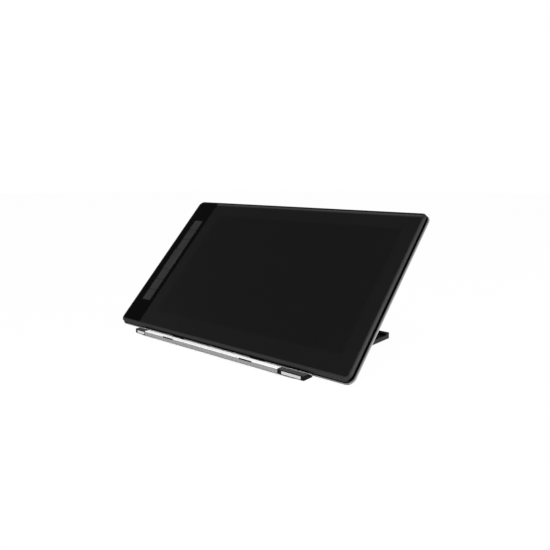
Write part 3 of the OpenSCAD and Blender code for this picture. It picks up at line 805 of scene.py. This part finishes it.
def make_rear_cover():
    """A slab drawn up to the frame and down to the back, then hollowed and drilled for the screws."""
    middle = back_w + EDGE_R
    low = (cover_low.x, cover_low.y, middle - SLAB / 2)
    high = (cover_high.x, cover_high.y, middle + SLAB / 2)
    piece = round_uprights(block("cover_shell", low, high), CORNER_R + cover_out, CORNER_STEPS)
    draw_arc(piece, 1, EDGE_R, 0, LIP_ANGLE, LIP_STEPS)
    slope_in = cover_out - EDGE_R * (1 - math.cos(LIP_ANGLE))
    slope_up = pan_depth - EDGE_R * (1 + math.sin(LIP_ANGLE)) - SLAB / 2
    draw_in(piece, 1, slope_in, slope_up)
    draw_arc(piece, -1, EDGE_R - SLAB / 2, 0, math.pi / 2, BACK_STEPS)
    draw_in(piece, 1, PAN_WALL, 0)
    sink(pan_depth - PAN_FLOOR)
    holes = []
    for x, v in SCREW_PLACES:
        start, end = (x, v, back_w - MM), (x, v, back_w + SCREW_RECESS)
        holes.append(rod("hole", start, end, SCREW_RECESS_R, SCREW_SIDES))
    combine(piece, holes, "DIFFERENCE")
    set_up(piece, "tablet", "cover", ["rear_cover"], SLOPE)


make_rear_cover()

# %% [markdown]
# ## Frame
# The black frame holds the glass. From the side it is a low wall, then a rim that curves up to the glass,
# then a narrow land. The helper that drew the cover's edge draws the rim too, insetting the top face flat
# makes the land, and extruding it down makes the seat. The bays are cut out, the edges are eased, and the
# sockets are cut last, because they lie so near the rim that easing them too would push points out of the
# wall.

# %% Openings in the top edge
FRAME_WALL = 8 * MM
SLOT_GAP = 0.15 * MM
SLOT_SIDES = 32
LIGHT_GAP = 0.015 * MM
SOCKET_PITCH = 25 * MM
POWER_HEIGHT = 2.6 * MM
POWER_FLANGE = 1.0 * MM


def round_ended(name, low, high):
    """A bar along the slope with round ends, for a socket or a button in the top edge."""
    radius = (high.z - low.z) / 2
    middle = (low.z + high.z) / 2
    bar = block(name, (low.x + radius, low.y, low.z), (high.x - radius, high.y, high.z))
    ends = []
    for x in (low.x + radius, high.x - radius):
        ends.append(rod("end", (x, low.y, middle), (x, high.y, middle), radius, SLOT_SIDES))
    return combine(bar, ends, "UNION")


def edge_cutters():
    """Slots through the top wall for the two sockets, the power button and the light."""
    wall_low, wall_high = frame_high.y - FRAME_WALL - MM, frame_high.y + MM
    low, high = turned_box("usb_sockets", SLOPE)
    width = high.x - low.x - SOCKET_PITCH
    spans = [(low.x, low.x + width), (high.x - width, high.x)]
    cutters = []
    for x0, x1 in spans:
        near = Vector((x0 - SLOT_GAP, wall_low, low.z - SLOT_GAP))
        far = Vector((x1 + SLOT_GAP, wall_high, high.z + SLOT_GAP))
        cutters.append(round_ended("socket", near, far))
    low, high = turned_box("power_button", SLOPE)
    middle = (low.z + high.z) / 2
    half = POWER_HEIGHT / 2 + SLOT_GAP
    near = Vector((low.x + POWER_FLANGE - SLOT_GAP, wall_low, middle - half))
    far = Vector((high.x - POWER_FLANGE + SLOT_GAP, wall_high, middle + half))
    cutters.append(round_ended("power", near, far))
    low, high = turned_box("status_light", SLOPE)
    centre = (low + high) / 2
    start, end = (centre.x, wall_low, centre.z), (centre.x, wall_high, centre.z)
    cutters.append(rod("light", start, end, (high.x - low.x) / 2 + LIGHT_GAP, SLOT_SIDES))
    return cutters


print("openings for two sockets, a button and a light")

# %% Frame
RIM_START = math.radians(45)
RIM_STEPS = 8
RIM_LAND = 0.5 * MM
GLASS_GAP = 0.1 * MM
WEB = 6 * MM
BAY_R = 2 * MM
BAY_STEPS = 4
FRAME_EASE = 0.22 * MM

glass_low, glass_high = turned_box("cover_glass", SLOPE)
panel_low, panel_high = turned_box("key_panel", SLOPE)
split_x = (panel_high.x + glass_low.x) / 2
rim_w = frame_high.x - glass_high.x - GLASS_GAP


def make_frame():
    """A wall, a curved rim, a land and a seat, with two bays and the openings in the top edge."""
    shoulder = frame_high.z - RIM_DROP
    piece = block("frame_shell", frame_low, (frame_high.x, frame_high.y, shoulder))
    round_uprights(piece, CORNER_R, CORNER_STEPS)
    slope_w = rim_w - RIM_LAND
    rim_end = 2 * math.atan2(slope_w, RIM_DROP) - RIM_START
    rim_r = slope_w / (math.cos(RIM_START) - math.cos(rim_end))
    draw_arc(piece, 1, rim_r, RIM_START, rim_end, RIM_STEPS)
    draw_in(piece, 1, RIM_LAND, 0)
    sink(frame_high.z - glass_low.z)
    bay_v = (frame_low.y + FRAME_WALL, frame_high.y - FRAME_WALL)
    bays = [
        (frame_low.x + FRAME_WALL, split_x - WEB / 2),
        (split_x + WEB / 2, frame_high.x - FRAME_WALL),
    ]
    cutters = []
    for x0, x1 in bays:
        bay = block("bay", (x0, bay_v[0], frame_low.z - MM), (x1, bay_v[1], frame_high.z + MM))
        cutters.append(round_uprights(bay, BAY_R, BAY_STEPS))
    combine(piece, cutters, "DIFFERENCE")
    ease(piece, FRAME_EASE)
    combine(piece, edge_cutters(), "DIFFERENCE")
    set_up(piece, "tablet", "frame", ["mid_frame"], SLOPE)


make_frame()

# %% [markdown]
# ## Glass and key panel
# Both are cut from one slab with round corners, as the real fronts are, by bisecting it at the line between
# them. A slightly wider edge round than on the plastic gives the glass its ground edge.

# %% Glass and key panel
STRIP_R = 2 * MM
STRIP_STEPS = 6
GLASS_EASE = 0.3 * MM
PANEL_EASE = 0.2 * MM
KEY_GAP = 0.3 * MM
KEY_FLANGE = 0.8 * MM


def front_slab(name):
    corner_r = CORNER_R - rim_w - GLASS_GAP
    low = Vector((panel_low.x, glass_low.y, glass_low.z))
    return round_uprights(block(name, low, glass_high), corner_r, CORNER_STEPS)


def keep_side(piece, x, side):
    """Bisects a piece across X and keeps the right (1) or the left (-1) side."""
    pick(piece, "FACE", lambda centre, normal: True)
    bpy.ops.mesh.bisect(plane_co=(x, 0, 0), plane_no=(side, 0, 0), use_fill=True, clear_inner=True)
    done()
    return piece


def make_front():
    glass = keep_side(front_slab("glass_pane"), glass_low.x, 1)
    ease(glass, GLASS_EASE)
    set_up(glass, "tablet", "glass", ["cover_glass"], SLOPE)
    panel = keep_side(front_slab("panel_plate"), panel_high.x, -1)
    top = turned_box("express_key_1", SLOPE)
    bottom = turned_box("express_key_6", SLOPE)
    slot_low = (top[0].x + KEY_FLANGE - KEY_GAP, bottom[0].y - KEY_GAP, panel_low.z - MM)
    slot_high = (top[1].x - KEY_FLANGE + KEY_GAP, top[1].y + KEY_GAP, panel_high.z + MM)
    slot = round_uprights(block("slot", slot_low, slot_high), STRIP_R, STRIP_STEPS)
    combine(panel, [slot], "DIFFERENCE")
    ease(panel, PANEL_EASE)
    set_up(panel, "tablet", "panel", ["key_panel"], SLOPE)


make_front()

# %% [markdown]
# ## Keys and touch bar
# A key is a cap with round corners and a crowned top, on a flange that stops it under the panel. The crown
# is what is left inside a long cylinder, and the dish of the touch bar is what such a cylinder takes away.
# One key is modelled, and six copies of it go to their places, each with a mesh of its own because each key
# moves alone.

# %% Key caps
KEY_R = 1.5 * MM
KEY_STEPS = 6
CROWN_SIDES = 720
FLANGE_END = 2 * MM
FLANGE_DEPTH = 1.15 * MM
KEY_SINK = 0.2 * MM
key_top = frame_high.z - KEY_SINK


def cap(name, low, high):
    """A cap with its flange, up to the height of the keys."""
    body = block(name, (low.x + KEY_FLANGE, low.y, low.z), (high.x - KEY_FLANGE, high.y, key_top))
    round_uprights(body, KEY_R, KEY_STEPS)
    flange_top = frame_high.z - FLANGE_DEPTH
    flange = block("flange", (low.x, low.y + FLANGE_END, low.z), (high.x, high.y - FLANGE_END, flange_top))
    return combine(body, [flange], "UNION")


def strip_rod(low, high, height, radius):
    """A long cylinder along the key strip."""
    middle = (low.x + high.x) / 2
    return rod("strip", (middle, low.y - MM, height), (middle, high.y + MM, height), radius, CROWN_SIDES)


print("the keys reach up to w =", round(key_top, 5))

# %% Keys
KEY_COUNT = 6
KEY_GROUP = 3
MIDDLE_KEY = 2
KEY_EASE = 0.25 * MM
CROWN_R = 90 * MM
DOT_R = 0.6 * MM
DOT_SIDES = 24
DOT_RINGS = 16


def make_first_key():
    low, high = turned_box("express_key_1", SLOPE)
    piece = cap("first_key", low, high)
    combine(piece, [strip_rod(low, high, key_top - CROWN_R, CROWN_R)], "INTERSECT")
    ease(piece, KEY_EASE)
    return piece


def feel_dot(low, high):
    """A small round bump, by which a finger finds the middle key of three."""
    middle = (low + high) / 2
    place = (middle.x, middle.y, key_top - DOT_R / 2)
    bpy.ops.mesh.primitive_uv_sphere_add(
        segments=DOT_SIDES, ring_count=DOT_RINGS, radius=DOT_R, location=place
    )
    settle()
    return bpy.context.object


def make_keys():
    first_low = turned_box("express_key_1", SLOPE)[0]
    first = make_first_key()
    for number in range(1, KEY_COUNT + 1):
        node = f"express_key_{number}"
        low, high = turned_box(node, SLOPE)
        piece = copy_at(first, f"key_cap_{number}", low - first_low)
        if number % KEY_GROUP == MIDDLE_KEY:
            combine(piece, [feel_dot(low, high)], "UNION")
        set_up(piece, f"key_{number}", "key", [node], SLOPE)
    bpy.data.objects.remove(first)


make_keys()

# %% Touch bar
DISH_R = 110 * MM
DISH_DEPTH = 0.4 * MM
TOUCH_EASE = 0.2 * MM


def make_touch_bar():
    low, high = turned_box("touch_bar", SLOPE)
    piece = cap("touch_cap", low, high)
    combine(piece, [strip_rod(low, high, key_top - DISH_DEPTH + DISH_R, DISH_R)], "DIFFERENCE")
    ease(piece, TOUCH_EASE)
    set_up(piece, "tablet", "key", ["touch_bar"], SLOPE)


make_touch_bar()

# %% [markdown]
# ## Front of the stand
# The metal bar along the front is an extrusion with a chamfer, and two rubber strips are let into it. The
# black end blocks carry polished trim plates that lie flush in shallow pockets. Behind its lip a block
# steps down to a ledge with a hollow for the tablet's lower edge, cut with a block that is rounded and
# turned as the tablet is.

# %% Bars and pockets
def pair(node):
    """Boxes of the left and the right solid of a node that has one on each side."""
    low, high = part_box(node)
    xs = [vertex.co.x for vertex in frame["nodes"][node].data.vertices]
    left = (low, Vector((max(x for x in xs if x < 0), high.y, high.z)))
    right = (Vector((min(x for x in xs if x > 0), low.y, low.z)), high)
    return left, right


def front_room(box):
    """The same box, reaching out of the front face, as a cutter."""
    low, high = box
    return block("pocket", low - Vector((0, MM, 0)), high)


def chamfered(name, box, width):
    """A bar whose upper front edge is chamfered."""
    low, high = box
    piece = block(name, low, high)
    pick(piece, "EDGE", lambda a, b: min(a.z, b.z) > high.z - NEAR and max(a.y, b.y) < low.y + NEAR)
    bpy.ops.mesh.bevel(offset=width, segments=1, affect="EDGES")
    done()
    return piece


print("bars can be chamfered and let into pockets")

# %% Front bar
STRIP_RISE = 0.45 * MM
BAR_EASE = 0.1 * MM


def make_front_bar():
    rise = Vector((0, 0, STRIP_RISE))
    strip_boxes = [(low, high + rise) for low, high in pair("bar_inlays")]
    piece = chamfered("bar_extrusion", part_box("front_bar"), BAR_CHAMFER)
    combine(piece, [front_room(box) for box in strip_boxes], "DIFFERENCE")
    ease(piece, BAR_EASE, steps=2)
    set_up(piece, "base", "bar", ["front_bar"])
    strips = gather("inlay_strips", [chamfered("strip", box, STRIP_RISE) for box in strip_boxes])
    ease(strips, BAR_EASE, steps=2)
    set_up(strips, "base", "rubber", ["bar_inlays"])


make_front_bar()

# %% Room for the tablet
CRADLE_GAP = 0.5 * MM
CRADLE_STEPS = 10
ROOM = 40 * MM


def tablet_room():
    """The space that the tablet's lower edge takes up, with some air round it."""
    edge_v, edge_w = cover_low.y - CRADLE_GAP, back_w - CRADLE_GAP
    low = (cover_low.x, edge_v, edge_w)
    room = block("room", low, (cover_high.x, edge_v + ROOM, edge_w + ROOM))
    pick(room, "EDGE", lambda a, b: max(a.y, b.y) < edge_v + NEAR and max(a.z, b.z) < edge_w + NEAR)
    bpy.ops.mesh.bevel(offset=EDGE_R + CRADLE_GAP, segments=CRADLE_STEPS, affect="EDGES")
    done()
    room.rotation_euler = (SLOPE, 0, 0)
    settle()
    return room


print("the cradle leaves", CRADLE_GAP, "m of air")

# %% End blocks and trim plates
END_BLOCK_R = 1 * MM
END_BLOCK_STEPS = 6
END_BLOCK_EASE = 0.2 * MM
TRIM_EASE = 0.15 * MM
LEDGE_H = 3.8 * MM


def make_end_block(node, side, trim_box):
    low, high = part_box(node)
    piece = block(node + "_body", low, high)
    edge = high.x if side > 0 else low.x
    round_uprights(piece, END_BLOCK_R, END_BLOCK_STEPS, lambda point: abs(point.x - edge) < NEAR)
    lip_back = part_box("front_bar")[1].y
    above_ledge = block("above", (low.x - MM, lip_back, LEDGE_H), (high.x + MM, high.y + MM, high.z + MM))
    combine(piece, [front_room(trim_box), above_ledge, tablet_room()], "DIFFERENCE")
    ease(piece, END_BLOCK_EASE)
    set_up(piece, "base", "block", [node])


def make_ends():
    left, right = pair("block_trims")
    make_end_block("end_block_left", -1, left)
    make_end_block("end_block_right", 1, right)
    plates = gather("trim_plates", [block("plate", *box) for box in (left, right)])
    ease(plates, TRIM_EASE, steps=2)
    set_up(plates, "base", "trim", ["block_trims"])


make_ends()

# %% [markdown]
# ## Rear bar
# The rear bar closes the base with two generous round corners, one of which shows in the photograph beside
# the tablet. Bevelling its two rear uprights gives the corners, and a wide easing gives it the soft edges
# of a moulding.

# %% Rear bar
REAR_R = 3 * MM
REAR_STEPS = 10
REAR_EASE = 0.4 * MM


def make_rear_bar():
    low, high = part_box("rear_bar")
    piece = block("rear_beam", low, high)
    round_uprights(piece, REAR_R, REAR_STEPS, lambda point: point.y > high.y - NEAR)
    ease(piece, REAR_EASE, steps=4)
    set_up(piece, "base", "rear", ["rear_bar"])


make_rear_bar()

# %% [markdown]
# ## Pieces that keep their CAD outline
# The hinge, the plate, the prop and the rubber parts have outlines that the mechanism needs, so they aren't
# modelled again. A copy of each node is cleaned of its triangles and its edges are eased, which is what a
# mould or a tumbler does to the real ones, and it then takes the light on its edges as they do.

# %% Ease a copy
FLAT_ANGLE = math.radians(0.5)
SAME_POINT = 0.002 * MM


def eased_copy(node, finish, edge):
    source = frame["nodes"][node]
    piece = bpy.data.objects.new(node + "_eased", source.data.copy())
    bpy.context.scene.collection.objects.link(piece)
    only(piece)
    bpy.ops.mesh.customdata_custom_splitnormals_clear()
    pick(piece, "FACE", lambda centre, normal: True)
    bpy.ops.mesh.remove_doubles(threshold=SAME_POINT)
    bpy.ops.mesh.dissolve_limited(angle_limit=FLAT_ANGLE)
    done()
    ease(piece, edge, steps=2)
    set_up(piece, source["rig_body"], finish, [node])


print("a copy joins points nearer than", SAME_POINT, "m")

# %% Eased pieces
EASED = [
    ("rail_left", "stand_plastic", "rear", 0.3),
    ("rail_right", "stand_plastic", "rear", 0.3),
    ("base_tray", "tray_metal", "tray", 0.2),
    ("foot_tracks", "rubber", "rubber", 0.12),
    ("stop_pads", "rubber", "rubber", 0.2),
    ("base_feet", "rubber", "rubber", 0.2),
    ("hinge_pins", "pin_steel", "steel", 0.2),
    ("plate_lower", "plate_plastic", "plate", 0.3),
    ("plate_left", "plate_plastic", "plate", 0.3),
    ("plate_right", "plate_plastic", "plate", 0.3),
    ("plate_upper", "plate_plastic", "plate", 0.3),
    ("plate_pads", "rubber", "rubber", 0.3),
    ("prop_pins", "pin_steel", "steel", 0.15),
    ("prop_flap", "plate_plastic", "plate", 0.3),
    ("foot_rod", "pin_steel", "steel", 0.25),
    ("foot_sleeves", "rubber", "rubber", 0.2),
    ("rear_feet", "rubber", "rubber", 0.2),
    ("usb_sockets", "pin_steel", "socket", 0.06),
    ("power_button", "frame_plastic", "frame", 0.25),
    ("status_light", "light_film", "film", 0.12),
]
for node, slot, finish, edge_mm in EASED:
    eased_copy(node, finish, edge_mm * MM)

# %% [markdown]
# ## Screws in the back
# Six small screws hold the cover. A cylinder gets a domed edge by a bevel, and a cross-shaped recess is cut
# into its head. One screw is modelled, and the others are copies with their own mesh.

# %% Screws
SCREW_HEAD_R = 1.9 * MM
SCREW_HEAD_H = 0.8 * MM
SCREW_DOME = 0.25 * MM
DOME_STEPS = 4
SCREW_SHANK_R = 0.95 * MM
SHANK_SIDES = 24
CROSS_L = 2.1 * MM
CROSS_W = 0.5 * MM
CROSS_DEPTH = 0.5 * MM


def make_screws():
    low, high = turned_box("rear_screws", SLOPE)
    head = rod("screw", (0, 0, low.z), (0, 0, low.z + SCREW_HEAD_H), SCREW_HEAD_R, SCREW_SIDES)
    pick(head, "EDGE", lambda a, b: max(a.z, b.z) < low.z + NEAR)
    bpy.ops.mesh.bevel(offset=SCREW_DOME, segments=DOME_STEPS, affect="EDGES")
    done()
    cuts = []
    for length, width in ((CROSS_L, CROSS_W), (CROSS_W, CROSS_L)):
        below = (-length / 2, -width / 2, low.z - MM)
        above = (length / 2, width / 2, low.z + CROSS_DEPTH)
        cuts.append(block("cross", below, above))
    combine(head, cuts, "DIFFERENCE")
    start, end = (0, 0, low.z + SCREW_HEAD_H / 2), (0, 0, high.z)
    combine(head, [rod("shank", start, end, SCREW_SHANK_R, SHANK_SIDES)], "UNION")
    screws = [copy_at(head, "screw", (x, v, 0)) for x, v in SCREW_PLACES]
    bpy.data.objects.remove(head)
    set_up(gather("screw_set", screws), "tablet", "steel", ["rear_screws"], SLOPE)


make_screws()

# %% [markdown]
# ## Pieces inside
# The display stack, the boards and the flat cables are closed in by the shells. Their CAD shape is right,
# so they stay as they are and only take their finish.

# %% Finish of the inner pieces
INSIDE = {
    "lcd_panel": "display",
    "backlight": "film",
    "digitizer_board": "board",
    "shield_sheet": "steel",
    "main_board": "board",
    "port_board": "board",
    "key_board": "board",
    "dome_mat": "rubber",
    "display_flex": "flex",
    "key_flex": "flex",
}
for node, finish in INSIDE.items():
    mesh = frame["nodes"][node].data
    mesh.materials.clear()
    mesh.materials.append(FINISH[finish])
print("inner pieces", len(INSIDE))

# %% [markdown]
# ## Floor and light
# The picture is a cut-out on white. The floor is white paper: to the camera and in reflections it mostly
# glows at plain white, and the small diffuse part keeps the object's shadow. Right under the base it
# doesn't glow at all, so the dark line where the stand meets the desk stays. The sky is white near the
# horizon and dark overhead, as in a studio with a lit backdrop and a black ceiling, so that the sloping
# glass stays dark. Three soft boxes draw the highlights on edges and metal: a strong one above right, and
# weak ones in front and behind.

# %% Glow of the floor
FLOOR_GLOW = 0.975
SHADOW_EDGE = 4 * MM


def seen_directly(nodes):
    """1 for rays from the camera and for those mirrored or sent on by the object, 0 for the others."""
    kinds = ("Is Camera Ray", "Is Glossy Ray", "Is Transmission Ray")
    camera_ray, mirrored, sent_on = [nodes.make("LightPath", out=kind) for kind in kinds]
    return camera_ray.most(mirrored).most(sent_on)


def open_floor(nodes):
    """The share of glow: none under the stand's base, and nearly all of it from a little outside."""
    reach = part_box("rear_bar")[1]
    x, y, _ = nodes.axes(nodes.make("TexCoord", out="Object"))
    beside = nodes.ramp(abs(x), reach.x - SHADOW_EDGE, reach.x)
    beyond = nodes.ramp(abs(y), reach.y, reach.y + SHADOW_EDGE)
    return beside.most(beyond) * FLOOR_GLOW


print("the floor glows at", FLOOR_GLOW)

# %% Floor
FLOOR_RADIUS = 6.0
FLOOR_SIDES = 96
FLOOR_WHITE = 0.85


def white_paper():
    material = bpy.data.materials.new("white_paper")
    material.use_nodes = True
    nodes = Nodes(material.node_tree)
    paper = nodes.make("BsdfDiffuse", None, {"Color": (*grey(FLOOR_WHITE), 1)})
    glow = nodes.make("Emission")
    share = seen_directly(nodes) * open_floor(nodes)
    surface = nodes.make("MixShader", None, {0: share, 1: paper, 2: glow})
    nodes.make("OutputMaterial", None, {"Surface": surface})
    return material


bpy.ops.mesh.primitive_circle_add(vertices=FLOOR_SIDES, radius=FLOOR_RADIUS, fill_type="NGON")
floor = bpy.context.object
floor.name = "paper_floor"
floor.data.materials.append(white_paper())
print("floor", FLOOR_RADIUS, "m")

# %% Sky
SKY_FILL = 0.45
SKY_TOP = 0.1
SKY_BRIGHT_TO = 0.28
SKY_DARK_FROM = 0.5


def studio_sky():
    world = bpy.data.worlds.new("studio_sky")
    bpy.context.scene.world = world
    world.use_nodes = True
    nodes = Nodes(world.node_tree)
    _, _, height = nodes.axes(nodes.make("TexCoord", out="Generated"))
    fall = {"From Min": SKY_BRIGHT_TO, "From Max": SKY_DARK_FROM, "To Min": 1.0, "To Max": SKY_TOP}
    backdrop = nodes.make("MapRange", {"interpolation_type": "SMOOTHSTEP"}, {"Value": height, **fall})
    ends = {"To Min": SKY_FILL, "To Max": backdrop}
    strength = nodes.make("MapRange", None, {"Value": seen_directly(nodes), **ends})
    glow = nodes.make("Background", None, {"Color": (*grey(1.0), 1), "Strength": strength})
    nodes.make("OutputWorld", None, {"Surface": glow})
    print("sky with", len(world.node_tree.nodes), "nodes")


studio_sky()

# %% Soft boxes
MIDDLE = (0, 0, 0.08)


def soft_box(name, place, width, height, power):
    """A large area lamp that faces the middle of the object. Sizes are in metres, power in watts."""
    turn = (Vector(MIDDLE) - Vector(place)).to_track_quat("-Z", "Y").to_euler()
    bpy.ops.object.light_add(type="AREA", location=place, rotation=turn)
    lamp = bpy.context.object
    lamp.name = name
    lamp.data.shape = "RECTANGLE"
    lamp.data.size = width
    lamp.data.size_y = height
    lamp.data.energy = power
    print(name, power, "W")


soft_box("top_box", place=(0.9, -0.7, 1.55), width=1.1, height=0.8, power=24)
soft_box("front_box", place=(0.1, -1.6, 0.5), width=1.2, height=0.6, power=6)
soft_box("back_box", place=(0.9, 1.1, 1.2), width=1.0, height=0.8, power=6)
